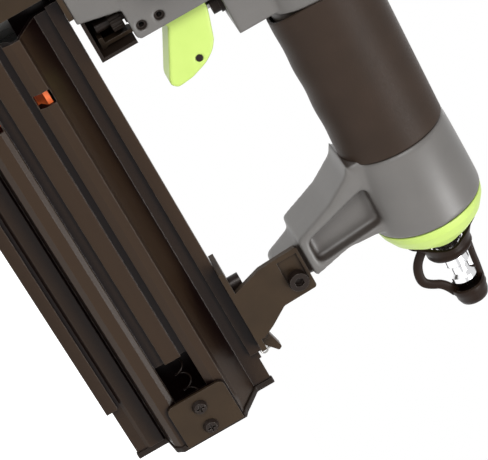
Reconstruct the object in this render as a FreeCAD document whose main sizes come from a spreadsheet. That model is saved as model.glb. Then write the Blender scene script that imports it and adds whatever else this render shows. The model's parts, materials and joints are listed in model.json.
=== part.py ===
"""Pneumatic brad nailer as an assembly of separate pieces, in millimetres.

Frame: the origin is the middle of the work contact's foot, on the drive axis.
+Z points away from the work, +X points back along the handle, and -Y is the tool's left side.
"""
import FreeCAD, Part
import math
import os
import re

import Sketcher

Vector = FreeCAD.Vector
Rotation = FreeCAD.Rotation

SIZES = {
    # running, sliding and seating clearances
    "fit_gap": 0.05,
    "seat_gap": 0.15,
    "slide_gap": 0.3,
    # barrel of the cast body, round the drive axis
    "barrel_rad": 33,
    "barrel_bore": 27,
    "barrel_low": 122,
    "barrel_top": 206,
    "bore_floor": 112,
    "flange_half": 32,
    "flange_deep": 8,
    "flange_round": 9,
    "taper_low": 106,
    "taper_rad": 16,
    # foot of the cast body
    "foot_low": 91,
    "foot_front": -14,
    "foot_back": 27,
    "foot_half": 11,
    "foot_back_top": 31,
    # trigger lugs
    "lug_back": 45.7,
    "lug_low": 109,
    "lug_half": "lug_gap_half + 3.8",
    "lug_gap_half": "trigger_half + 1.1",
    "lug_gap_front": 35.5,
    # handle
    "handle_z": 182.5,
    "core_high": "grip_high - 2.5",
    "core_wide": "grip_wide - 3",
    "shell_high": "grip_high - 0.5",
    "shell_wide": "grip_wide - 1",
    "root_low": 146,
    "root_half": 12,
    "root_back": 65.3,
    "chamber_rad": 14.5,
    "grip_front": 67,
    "grip_back": 145.5,
    "grip_high": 24,
    "grip_wide": 20.5,
    # rear housing
    "rear_start_high": 24.2,
    "rear_start_wide": 20.8,
    "rear_mid_x": 163,
    "rear_mid_high": 25,
    "rear_mid_wide": 24,
    "rim_rad": 25.5,
    "rim_x": 184.5,
    # leg that carries the magazine's rear end
    "leg_half": 13.5,
    "leg_low": 125,
    "leg_front": 163,
    "leg_back": 182.5,
    "leg_root": 142,
    "leg_pocket": 6,
    "tongue_half": 8.3,
    "tongue_low": 111,
    "tongue_front": 166,
    "tongue_back": 187,
    # magazine: fixed rail
    "rail_front": 11,
    "rail_back": 206,
    "rail_low_back": 196,
    "rail_top": 88.7,
    "rail_low": 16.5,
    "rail_wall": 2.4,
    "lip_out": 4.6,
    "lip_thick": 1.8,
    "lip_deep": 5.5,
    "web_in": 1.2,
    "rib_out": 8.5,
    "low_rib_z": 36,
    "top_rib_z": 66.5,
    "rib_thick": 2.5,
    # magazine: sliding cover
    "cover_front": 18,
    "cover_back": 222,
    "cover_wall": 1.8,
    "cover_in": 0.8,
    "hump_out": 15.6,
    "hump_top": 69.6,
    "hump_low": 36.2,
    "slope_top": 77.7,
    "slope_low": 33,
    "groove_out": "hump_out - 4.2",
    "band_out": "hump_out - 2.6",
    "band_top": 57.7,
    "band_low": 50,
    "rib_a_low": 61,
    "rib_b_top": 45,
    "bulge_out": 3.6,
    "bulge_low": 23.5,
    "window_x": 42.7,
    "window_long": 6.5,
    "recess_x": 183,
    "plate_x": 201,
    "plate_thick": 1.4,
    "plate_mid": 53.5,
    "cap_thick": 3,
    "cap_rim": 0.7,
    # nail pusher
    "pusher_front": 11.4,
    "pusher_back": 62,
    "pusher_thick": 1.2,
    "ear_out": "hump_out - 2.3",
    "carriage_low": 6.5,
    "carriage_top": 5.5,
    # nose
    "nose_half": 11,
    "nose_back": 10,
    "nose_low": 6,
    "nose_split": 0.9,
    "nose_front": 5,
    "drive_half": 1.3,
    "slot_low": 18,
    "slot_top": 72,
    "ledge_top": 84,
    "ear_bolt_low": 47,
    "ear_bolt_top": 59,
    "nose_screw_y": 8,
    "nose_screw_low": 20,
    "nose_screw_top": 70,
    # work contact
    "contact_front": 7.8,
    "contact_thick": 2,
    "contact_low": 1.5,
    "shoe_top": 16,
    "shoe_back": 6,
    "arm_in": 11.4,
    "arm_low": 94,
    "arm_top": 100,
    "finger_x": 43.3,
    "finger_thick": 1.7,
    "finger_top": 126.4,
    "tip_thick": 1.5,
    "tip_top": 7,
    # depth adjuster
    "wheel_x": 36.6,
    "wheel_rad": 5.4,
    "wheel_low": 102.4,
    "wheel_high": 5.2,
    "stud_rad": 2.5,
    "stud_seat": 1.7,
    "shroud_front": 25.4,
    "shroud_back": 47.4,
    "shroud_half": 9,
    "shroud_low": 92.2,
    "shroud_top": 108.6,
    "shroud_wall": 1.5,
    # trigger and its valve
    "pivot_x": 40.6,
    "pivot_z": 121.3,
    "lower_pin_z": 113.2,
    "lug_pin_rad": 2.2,
    "lug_pin_half": "lug_half - 1.4",
    "trigger_half": 6.5,
    "channel_half": "trigger_half - 1.5",
    "trip_x": 68.2,
    "trip_z": 127,
    "trip_pin_rad": 1.5,
    "trip_half": "channel_half - 0.5",
    "valve_x": 52.3,
    "valve_low": 141,
    "valve_nose_rad": 4.7,
    "valve_rad": 7.5,
    "valve_top": 166,
    "stem_rad": 1.5,
    "stem_low": 135,
    "stem_top": 158,
    # drive parts inside the barrel
    "sleeve_rad": 17,
    "sleeve_wall": 2.5,
    "sleeve_top": "barrel_top - 1",
    "collar_z": 150,
    "collar_thick": 3,
    "bumper_high": 9,
    "bumper_hole": 4,
    "piston_low": "sleeve_top - 10.5",
    "piston_high": 9,
    "piston_gap": 0.08,
    "blade_thick": 1.25,
    "blade_wide": 2.2,
    "blade_low": 73,
    "ring_wire": 1.3,
    # cylinder cap, head valve and exhaust deflector
    "gasket_thick": 1,
    "cap_top": "barrel_top + 23",
    "cap_wall": 4,
    "cap_round": 7,
    "cap_bore": 25.5,
    "screw_pitch": 25.5,
    "cap_screw_rad": 2.5,
    "cap_head_rad": 4.2,
    "cap_head_high": 5,
    "head_valve_rad": 24,
    "head_valve_high": 6,
    "head_valve_hub": 8,
    "deflector_rad": 20,
    "deflector_low": "cap_top + 0.4",
    "deflector_top": "cap_top + 7.5",
    "deflector_wall": 2,
    # end cap, air plug and dust cover
    "dome_end": 203.5,
    "dome_neck": 9,
    "plug_thread": 6.4,
    "plug_hex": 7,
    "plug_rad": 5.95,
    "plug_bore": 3.6,
    "plug_tip": 230,
    "collar_x": 205,
    "cup_x": 230.6,
    "cup_long": 10.6,
    "cup_rad": 8.2,
    "rubber": 1.6,
    # magazine bracket and latch
    "bracket_out": 11,
    "bracket_thick": 2.5,
    "bracket_top": 123.5,
    "strip_front": 159,
    "strip_back": 203,
    "strip_thick": 2.4,
    "strip_far": 8,
    "leg_screw_x": 180,
    "leg_screw_z": 117.5,
    "leg_screw_rad": 2.5,
    "leg_head_rad": 4.25,
    "rail_screw_x": 172.1,
    "rail_screw_rad": 2,
    "rail_head_rad": 3.75,
    "latch_x": 199.5,
    "latch_z": 93.4,
    "latch_pin_rad": 1.1,
    "latch_near": 4.2,
    "latch_far": 0.2,
    "loop_x": 208.2,
    "loop_rad": 1.6,
    "loop_wire": 0.4,
}

EAR_BOLTS = ("ear_bolt_low", "ear_bolt_top")

doc = FreeCAD.newDocument("BradNailer")
sheet = doc.addObject("Spreadsheet::Sheet", "Sizes")
for row, alias in enumerate(SIZES, start=1):
    sheet.set(f"A{row}", alias)
    sheet.setAlias(f"B{row}", alias)
for row, size in enumerate(SIZES.values(), start=1):
    sheet.set(f"B{row}", f"={size}")
doc.recompute()

ALIAS = re.compile(r"\b(" + "|".join(sorted(SIZES, key=len, reverse=True)) + r")\b")
ALONG = {
    "X": Rotation(Vector(0, 1, 0), 90),
    "Y": Rotation(Vector(1, 0, 0), -90),
    "Z": Rotation(),
}
NODES = []


# ---------------------------------------------------------------- tools of the trade
def bound(text):
    """The same sum with each size's name pointing at its cell in the sheet."""
    return ALIAS.sub(r"Sizes.\1", str(text))


def size_of(text):
    """The number that a sum of sizes comes to."""
    return float(sheet.evalExpression(bound(text)))


def bind(thing, prop, text):
    thing.setExpression(prop, bound(text))


def place(thing, x, y, z, turn=None):
    """Put a piece at a point given as sums of sizes, turned first."""
    if turn is not None:
        thing.Placement = FreeCAD.Placement(Vector(), turn)
    for letter, text in zip("xyz", (x, y, z)):
        bind(thing, f"Placement.Base.{letter}", text)
    return thing


def cylinder(name, radius, length, x, y, z, along="Z"):
    thing = doc.addObject("Part::Cylinder", name)
    bind(thing, "Radius", radius)
    bind(thing, "Height", length)
    return place(thing, x, y, z, ALONG[along])


def cone(name, radius_low, radius_top, height, x, y, z, along="Z"):
    thing = doc.addObject("Part::Cone", name)
    bind(thing, "Radius1", radius_low)
    bind(thing, "Radius2", radius_top)
    bind(thing, "Height", height)
    return place(thing, x, y, z, ALONG[along])


def ring(name, radius, wire, x, y, z, along="Z"):
    thing = doc.addObject("Part::Torus", name)
    bind(thing, "Radius1", radius)
    bind(thing, "Radius2", wire)
    return place(thing, x, y, z, ALONG[along])


def block(name, x, y, z):
    """A box from three (low, high) pairs."""
    thing = doc.addObject("Part::Box", name)
    for prop, (low, high) in zip(("Length", "Width", "Height"), (x, y, z)):
        bind(thing, prop, f"({high}) - ({low})")
    return place(thing, x[0], y[0], z[0])


def oval(name, high, wide, x):
    """An ellipse across the handle, its long axis upright."""
    thing = doc.addObject("Part::Ellipse", name)
    bind(thing, "MajorRadius", high)
    bind(thing, "MinorRadius", wide)
    return place(thing, x, "0", "handle_z", Rotation(Vector(0, 1, 0), -90))


def oval_bar(name, high, wide, front, back):
    thing = doc.addObject("Part::Extrusion", name)
    thing.Base = oval(name + "Oval", high, wide, front)
    thing.DirMode = "Custom"
    thing.Dir = Vector(1, 0, 0)
    bind(thing, "LengthFwd", f"({back}) - ({front})")
    thing.Solid = True
    return thing


def fuse(name, things):
    thing = doc.addObject("Part::MultiFuse", name)
    thing.Shapes = things
    thing.Refine = True
    return thing


def cut(name, base, tools):
    thing = doc.addObject("Part::Cut", name)
    thing.Base = base
    thing.Tool = tools[0] if len(tools) == 1 else fuse(name + "Tools", tools)
    thing.Refine = True
    return thing


def group(name, things):
    """Identical fasteners that share a node as separate solids."""
    thing = doc.addObject("Part::Compound", name)
    thing.Links = things
    return thing


def outline(body, plane, points, offset):
    """A closed sketch on one of the body's own planes, every corner tied to the sheet."""
    sketch = body.newObject("Sketcher::SketchObject", body.Name + "Outline")
    role = f"{plane}_Plane"
    flat = next(f for f in body.Origin.OriginFeatures if f.Role == role)
    sketch.AttachmentSupport = [(flat, "")]
    sketch.MapMode = "FlatFace"
    bind(sketch, "AttachmentOffset.Base.z", offset)
    spots = [(size_of(across), size_of(up)) for across, up in points]
    count = len(points)
    for index, (across, up) in enumerate(spots):
        far = spots[(index + 1) % count]
        sketch.addGeometry(Part.LineSegment(Vector(across, up, 0), Vector(*far, 0)))
    for index in range(count):
        sketch.addConstraint(Sketcher.Constraint("Coincident", index, 2, (index + 1) % count, 1))
    for index, corner in enumerate(points):
        for kind, text, number in zip(("DistanceX", "DistanceY"), corner, spots[index]):
            rule = sketch.addConstraint(Sketcher.Constraint(kind, -1, 1, index, 1, number))
            bind(sketch, f"Constraints[{rule}]", text)
    return sketch


def rounded(body, solid, spots, corners):
    """Round the pad's edges that stand on the given corners of its outline."""
    for radius, indices in corners.items():
        doc.recompute()
        edges = []
        for number, edge in enumerate(solid.Shape.Edges, start=1):
            ends = [v.Point for v in edge.Vertexes]
            for index in indices:
                if len(ends) == 2 and all(spots(index, end) for end in ends):
                    edges.append(f"Edge{number}")
        fillet = body.newObject("PartDesign::Fillet", body.Name + "Round")
        fillet.Base = (solid, edges)
        bind(fillet, "Radius", radius)
        solid = fillet
    return solid


def prism(name, plane, points, low, high, corners=None):
    """A padded outline from low to high along the plane's own axis."""
    body = doc.addObject("PartDesign::Body", name)
    offset = f"-({high})" if plane == "XZ" else low
    pad = body.newObject("PartDesign::Pad", name + "Pad")
    pad.Profile = outline(body, plane, points, offset)
    bind(pad, "Length", f"({high}) - ({low})")
    if corners:
        first, second = {"XY": "xy", "XZ": "xz", "YZ": "yz"}[plane]

        def spots(index, end):
            across = getattr(end, first) - size_of(points[index][0])
            up = getattr(end, second) - size_of(points[index][1])
            return math.hypot(across, up) < 1e-4

        rounded(body, pad, spots, corners)
    return body


def turned(name, points, x="0", y="0", z="0", along="Z"):
    """A profile of (radius, height) corners revolved about the piece's own axis."""
    body = doc.addObject("PartDesign::Body", name)
    sketch = outline(body, "XZ", points, "0")
    spin = body.newObject("PartDesign::Revolution", name + "Spin")
    spin.Profile = sketch
    spin.ReferenceAxis = (sketch, ["V_Axis"])
    spin.Angle = 360
    return place(body, x, y, z, ALONG[along])


def coil(name, radius, wire, length, turns, x, y, z, along="Z"):
    """A helical spring whose ends lie at z and z + length along its axis."""
    reach = size_of(length) - size_of(wire)
    helix = Part.makeHelix(reach / turns, reach, size_of(radius))
    start = Vector(size_of(radius), 0, 0)
    section = Part.Wire(Part.makeCircle(size_of(wire) / 2, start, Vector(0, 1, 0)))
    thing = doc.addObject("Part::Feature", name)
    thing.Shape = Part.Wire(helix).makePipeShell([section], True, True)
    place(thing, x, y, z, ALONG[along])
    return thing


def keep(thing, node):
    """Name a finished piece after its node."""
    thing.Label = node
    NODES.append(thing)
    return thing


# ---------------------------------------------------------------- cast body
def cast_body():
    barrel = cylinder("Barrel", "barrel_rad", "barrel_top - barrel_low", "0", "0", "barrel_low")
    taper = cone("Taper", "taper_rad", "barrel_rad", "barrel_low - taper_low", "0", "0", "taper_low")
    half = "flange_half"
    square = [(f"-{half}", f"-{half}"), (half, f"-{half}"), (half, half), (f"-{half}", half)]
    flange = prism("Flange", "XY", square, "barrel_top - flange_deep", "barrel_top",
                   {"flange_round": range(4)})
    foot = prism("Foot", "XZ", [
        ("foot_front", "foot_low"), ("foot_back", "foot_low"),
        ("foot_back_top", "lug_low"), ("foot_back_top", "barrel_low + 6"),
        ("foot_front", "barrel_low + 6"),
    ], "-foot_half", "foot_half", {"2": [0]})
    lugs = prism("Lugs", "XZ", [
        ("foot_back", "lug_low"), ("lug_back", "lug_low"),
        ("lug_back", "root_low + 2"), ("foot_back", "root_low + 2"),
    ], "-lug_half", "lug_half", {"2.5": [1]})
    root = block("HandleRoot", ("barrel_bore + 2", "root_back"), ("-root_half", "root_half"),
                 ("root_low", "handle_z"))
    shell = oval_bar("FrontShell", "shell_high", "shell_wide", "barrel_bore + 1",
                     "grip_front - seat_gap")
    core = oval_bar("Core", "core_high", "core_wide", "barrel_bore + 1", "grip_back + 4")
    rear = doc.addObject("Part::Loft", "RearShell")
    rear.Sections = [
        oval("RearA", "rear_start_high", "rear_start_wide", "grip_back + seat_gap"),
        oval("RearB", "rear_mid_high", "rear_mid_wide", "rear_mid_x"),
        oval("RearC", "rim_rad", "rim_rad - 0.01", "rim_x"),
    ]
    rear.Solid = True
    leg = prism("Leg", "XZ", [
        ("leg_root", "handle_z - grip_high - slide_gap"), ("leg_root + 5", "leg_low + 30.5"),
        ("leg_front - 8", "leg_low + 19"), ("leg_front", "leg_low"),
        ("leg_back", "leg_low"), ("leg_back - 4.5", "leg_low + 18"),
        ("leg_back - 3", "handle_z - rim_rad + 2"), ("leg_back - 3", "handle_z - 12"),
        ("grip_back + seat_gap", "handle_z - 12"),
        ("grip_back + seat_gap", "handle_z - grip_high - slide_gap"),
    ], "-leg_half", "leg_half", {"3": [1], "1.2": [4], "8": [5]})
    tongue = prism("Tongue", "XZ", [
        ("tongue_front", "leg_low + 2"), ("tongue_front", "leg_low - 1"),
        ("tongue_front + 6", "tongue_low"), ("tongue_back - 3", "tongue_low"),
        ("tongue_back - 4.6", "leg_low + 2"),
    ], "-tongue_half", "tongue_half", {"3": [2], "2": [3]})
    solid = fuse("CastSolid", [barrel, taper, flange, foot, lugs, root, shell, core, rear, leg,
                               tongue])
    boss = cylinder("StudBoss", "stud_rad + 1.9", "7.4", "wheel_x", "0", "lug_low - 0.6")
    bore = cylinder("BarrelBore", "barrel_bore", "barrel_top - bore_floor + 1", "0", "0",
                    "bore_floor")
    drive = cylinder("DriveHole", "bumper_hole", "bore_floor - foot_low + 2", "0", "0",
                     "foot_low - 1")
    chamber = cylinder("Chamber", "chamber_rad", "rim_x", "1", "0", "handle_z", "X")
    gap = block("LugGap", ("lug_gap_front", "lug_back + 1"), ("-lug_gap_half", "lug_gap_half"),
                ("lug_low - 1", "root_low"))
    valve = cylinder("ValveBore", "valve_rad + seat_gap", "valve_top - root_low + 1", "valve_x",
                     "0", "root_low - 1")
    tools = [bore, drive, chamber, valve]
    for number, height in enumerate(("pivot_z", "lower_pin_z")):
        tools.append(cylinder(f"LugHole{number}", "lug_pin_rad + fit_gap", "2*lug_half + 2",
                              "pivot_x", "-lug_half - 1", height, "Y"))
    pocket = [
        ("leg_front - 7.5", "handle_z - rim_rad + 4"), ("leg_front + 2.5", "leg_low + 4"),
        ("leg_back - 4.6", "leg_low + 4"), ("leg_back - 7.5", "handle_z - rim_rad + 4"),
    ]
    for side, low, high in (("Left", "-leg_half - 1", "-leg_half + leg_pocket"),
                            ("Right", "leg_half - leg_pocket", "leg_half + 1")):
        tools.append(prism("Pocket" + side, "XZ", pocket, low, high, {"2.2": range(4)}))
    tools.append(cylinder("StudHole", "stud_rad + fit_gap", "stud_seat + 1.1", "wheel_x", "0",
                          "lug_low - 1"))
    tools.append(cylinder("LegScrewHole", "leg_screw_rad + fit_gap", "2*tongue_half + 2",
                          "leg_screw_x", "-tongue_half - 1", "leg_screw_z", "Y"))
    for number, (x, y) in enumerate(corner_spots()):
        tools.append(cylinder(f"CapThread{number}", "cap_screw_rad + fit_gap", "13", x, y,
                              "barrel_top - 12"))
    gapped = fuse("CastWithBoss", [cut("CastGapped", solid, [gap]), boss])
    keep(cut("CastBody", gapped, tools), "body_housing")


def corner_spots():
    """Centres of the four cap screws."""
    signs = ((1, 1), (1, -1), (-1, 1), (-1, -1))
    return [(f"{x}*screw_pitch", f"{y}*screw_pitch") for x, y in signs]


# ---------------------------------------------------------------- cap end
def cap_end():
    half = "flange_half"
    square = [(f"-{half}", f"-{half}"), (half, f"-{half}"), (half, half), (f"-{half}", half)]
    seat = "barrel_top + gasket_thick"
    sheet_part = prism("GasketSheet", "XY", square, "barrel_top", seat, {"flange_round": range(4)})
    gasket_tools = [cylinder("GasketBore", "barrel_bore", "gasket_thick + 2", "0", "0",
                             "barrel_top - 1")]
    cap = prism("CapBlock", "XY", square, seat, "cap_top - cap_round",
                {"flange_round": range(4)})
    crown = cone("CapCrown", "flange_half",
                 "flange_half - cap_round", "cap_round", "0", "0", "cap_top - cap_round")
    cap_tools = [
        cylinder("CapBore", "cap_bore", f"cap_top - cap_wall - ({seat}) + 1", "0", "0",
                 f"{seat} - 1"),
        cylinder("CapPort", "cap_screw_rad + fit_gap", "cap_wall + 2", "0", "0",
                 "cap_top - cap_wall - 1"),
    ]
    screws = []
    head_low = "cap_top - cap_round - cap_head_high"
    for number, (x, y) in enumerate(corner_spots()):
        gasket_tools.append(cylinder(f"GasketHole{number}", "cap_screw_rad + seat_gap",
                                     "gasket_thick + 2", x, y, "barrel_top - 1"))
        cap_tools.append(cylinder(f"CapHole{number}", "cap_screw_rad + seat_gap",
                                  "cap_top - barrel_top", x, y, "barrel_top"))
        cap_tools.append(cylinder(f"CapSeat{number}", "cap_head_rad + slide_gap",
                                  "cap_head_high + cap_round + 1", x, y, head_low))
        shank = cylinder(f"CapShank{number}", "cap_screw_rad", f"{head_low} - barrel_top + 10.5",
                         x, y, "barrel_top - 10")
        head = cylinder(f"CapHead{number}", "cap_head_rad", "cap_head_high", x, y, head_low)
        socket = hexagon(f"CapSocket{number}", "1.9", "3", x, y, f"{head_low} + cap_head_high - 2.6")
        screws.append(cut(f"CapScrew{number}", fuse(f"CapScrewBar{number}", [shank, head]),
                          [socket]))
    keep(cut("Gasket", sheet_part, gasket_tools), "cap_gasket")
    keep(cut("Cap", fuse("CapSolid", [cap, crown]), cap_tools), "cylinder_cap")
    keep(group("CapScrews", screws), "cap_screws")

    lid = turned("Lid", [
        ("cap_screw_rad + fit_gap", "0"), ("deflector_rad", "0"),
        ("deflector_rad", "deflector_top - deflector_low - 2"),
        ("deflector_rad - 2", "deflector_top - deflector_low"),
        ("cap_screw_rad + fit_gap", "deflector_top - deflector_low"),
    ], z="deflector_low")
    hollow = turned("LidHollow", [
        ("cap_screw_rad + deflector_wall", "-1"), ("deflector_rad - deflector_wall", "-1"),
        ("deflector_rad - deflector_wall", "deflector_top - deflector_low - deflector_wall"),
        ("cap_screw_rad + deflector_wall", "deflector_top - deflector_low - deflector_wall"),
    ], z="deflector_low")
    vents = [block(f"Vent{number}", ("-deflector_rad - 1", "-deflector_rad + 6"),
                   (f"{y} - 1.3", f"{y} + 1.3"), ("deflector_low + 1.2", "deflector_top - 2.4"))
             for number, y in enumerate((-8, -4, 0, 4, 8))]
    keep(cut("Deflector", lid, [hollow] + vents), "exhaust_deflector")
    shank = cylinder("DeflectorShank", "cap_screw_rad", "deflector_top - cap_top + cap_wall + 0.5",
                     "0", "0", "cap_top - cap_wall - 0.5")
    head = cylinder("DeflectorHead", "cap_head_rad + 0.8", "2.4", "0", "0",
                    "deflector_top + seat_gap")
    stub = cylinder("DeflectorStub", "cap_screw_rad", "1", "0", "0", "deflector_top - 0.5")
    socket = hexagon("DeflectorSocket", "1.7", "2", "0", "0", "deflector_top + 1.2")
    keep(cut("DeflectorScrew", fuse("DeflectorBar", [shank, stub, head]), [socket]),
         "deflector_screw")


def hexagon(name, radius, height, x, y, z, along="Z"):
    """A six-sided bar, radius to its corners."""
    thing = doc.addObject("Part::Prism", name)
    thing.Polygon = 6
    bind(thing, "Circumradius", radius)
    bind(thing, "Height", height)
    return place(thing, x, y, z, ALONG[along])


# ---------------------------------------------------------------- drive parts
def drive_parts():
    outer = "sleeve_rad + sleeve_wall"
    sleeve = turned("Sleeve", [
        ("sleeve_rad", "bore_floor"), (outer, "bore_floor"), (outer, "collar_z"),
        ("barrel_bore - seat_gap", "collar_z"),
        ("barrel_bore - seat_gap", "collar_z + collar_thick"),
        (outer, "collar_z + collar_thick"), (outer, "sleeve_top"), ("sleeve_rad", "sleeve_top"),
    ])
    ports = [cylinder(f"Port{number}", "1.6", "2*barrel_rad", f"-barrel_rad*{x}",
                      f"-barrel_rad*{y}", "bore_floor + 16", along)
             for number, (x, y, along) in enumerate(((1, 0, "X"), (0, 1, "Y")))]
    keep(cut("SleeveCut", sleeve, ports), "cylinder_sleeve")
    keep(turned("Bumper", [
        ("bumper_hole", "bore_floor"), ("sleeve_rad - seat_gap", "bore_floor"),
        ("sleeve_rad - seat_gap", "bore_floor + bumper_high - 2"),
        ("sleeve_rad - 4", "bore_floor + bumper_high"), ("bumper_hole", "bore_floor + bumper_high"),
    ]), "bumper")
    groove = "sleeve_rad - 2*ring_wire - 2*piston_gap"
    piston = turned("Piston", [
        ("0", "piston_low"), ("sleeve_rad - 3", "piston_low"),
        ("sleeve_rad - piston_gap", "piston_low + 1.5"),
        ("sleeve_rad - piston_gap", "piston_low + 3"), (groove, "piston_low + 3"),
        (groove, "piston_low + 3.2 + 2*ring_wire"),
        ("sleeve_rad - piston_gap", "piston_low + 3.2 + 2*ring_wire"),
        ("sleeve_rad - piston_gap", "piston_low + piston_high"), ("0", "piston_low + piston_high"),
    ])
    blade = block("Blade", ("-blade_thick/2", "blade_thick/2"), ("-blade_wide/2", "blade_wide/2"),
                  ("blade_low", "piston_low + 2"))
    keep(fuse("PistonDriver", [piston, blade]), "piston_driver")
    keep(ring("PistonRing", "sleeve_rad - ring_wire - piston_gap", "ring_wire - 0.02", "0", "0",
              "piston_low + 3.1 + ring_wire"), "piston_ring")
    seat = "sleeve_top + slide_gap"
    keep(turned("HeadValve", [
        ("0", seat), ("head_valve_rad", seat), ("head_valve_rad", f"{seat} + head_valve_high"),
        ("head_valve_hub", f"{seat} + head_valve_high"),
        ("head_valve_hub", f"{seat} + head_valve_high + 4"), ("0", f"{seat} + head_valve_high + 4"),
    ]), "head_valve")
    room = f"cap_top - cap_wall - ({seat}) - head_valve_high"
    keep(coil("HeadSpring", "14", "1.4", room, 4, "0", "0",
              f"{seat} + head_valve_high + 0.7"), "head_valve_spring")


# ---------------------------------------------------------------- handle end
def handle_end():
    outer = oval_bar("GripOuter", "grip_high", "grip_wide", "grip_front", "grip_back")
    inner = oval_bar("GripInner", "core_high + seat_gap", "core_wide + seat_gap",
                     "grip_front - 1", "grip_back + 1")
    keep(cut("Grip", outer, [inner]), "grip_sleeve")
    dome = turned("Dome", [
        ("plug_thread + seat_gap", "-8"), ("chamber_rad - seat_gap", "-8"),
        ("chamber_rad - seat_gap", "-3.6"), ("chamber_rad - 1.8", "-3.6"),
        ("chamber_rad - 1.8", "-1.8"), ("chamber_rad - seat_gap", "-1.8"),
        ("chamber_rad - seat_gap", "0"), ("rim_rad - 0.4", "0"), ("rim_rad - 1.3", "4"),
        ("rim_rad - 4", "9"), ("rim_rad - 9", "13.5"), ("rim_rad - 14", "16.5"),
        ("dome_neck", "dome_end - rim_x"), ("plug_thread + seat_gap", "dome_end - rim_x"),
    ], x="rim_x", z="handle_z", along="X")
    keep(dome, "end_cap")
    keep(ring("CapSeal", "chamber_rad - 1", "0.72", "rim_x - 2.7", "0", "handle_z", "X"),
         "end_cap_seal")
    shaft = turned("PlugShaft", [
        ("plug_bore", "-14"), ("plug_thread", "-14"), ("plug_thread", "2"),
        ("plug_rad", "6"), ("plug_rad", "15"), ("plug_rad - 1.6", "16.5"),
        ("plug_rad - 1.6", "20"), ("plug_rad", "21.6"), ("plug_rad", "24"),
        ("plug_rad - 1.2", "plug_tip - dome_end"), ("plug_bore", "plug_tip - dome_end"),
    ], x="dome_end", z="handle_z", along="X")
    nut = cut("PlugNut", hexagon("PlugHex", "plug_hex", "5", "dome_end + seat_gap", "0",
                                 "handle_z", "X"),
              [cylinder("PlugHexBore", "plug_bore", "7", "dome_end - 1", "0", "handle_z", "X")])
    keep(fuse("AirPlug", [shaft, nut]), "air_plug")
    dust_cover()


def dust_cover():
    hold = "plug_hex + seat_gap"
    collar = turned("DustCollar", [
        (hold, "1"), ("12.6", "-4.6"), ("13.6", "-5.2"), ("12.6", "-1.6"), ("9.6", "3.4"),
        (f"{hold} + rubber", "7.5"), (hold, "7.5"),
    ], x="collar_x", z="handle_z", along="X")
    cup = turned("DustCup", [
        ("cup_rad - rubber", "0"), ("cup_rad", "0"), ("cup_rad", "cup_long - 5"),
        ("cup_rad - 3.4", "cup_long"), ("0", "cup_long"), ("0", "cup_long - rubber"),
        ("cup_rad - 4.4", "cup_long - rubber"), ("cup_rad - rubber", "cup_long - 5"),
    ], x="cup_x", z="handle_z", along="X")
    strap = prism("DustStrap", "XZ", [
        ("collar_x + 1", "handle_z - 9"), ("collar_x - 1", "handle_z - 14"),
        ("collar_x + 7.5", "handle_z - 18.8"), ("collar_x + 14", "handle_z - 18.8"),
        ("cup_x + 2.5", "handle_z - cup_rad - 0.4"), ("cup_x + 2.5", "handle_z - cup_rad + 1"),
        ("cup_x", "handle_z - cup_rad + 1"), ("cup_x - 1.5", "handle_z - cup_rad - 0.6"),
        ("collar_x + 12.6", "handle_z - 16.4"), ("collar_x + 8.3", "handle_z - 16.4"),
        ("collar_x + 4.2", "handle_z - 12.6"), ("collar_x + 5", "handle_z - 8.2"),
    ], "-2.2", "2.2", {"2": [2, 3], "1": [9]})
    keep(fuse("DustCover", [collar, cup, strap]), "dust_cover")


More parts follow.
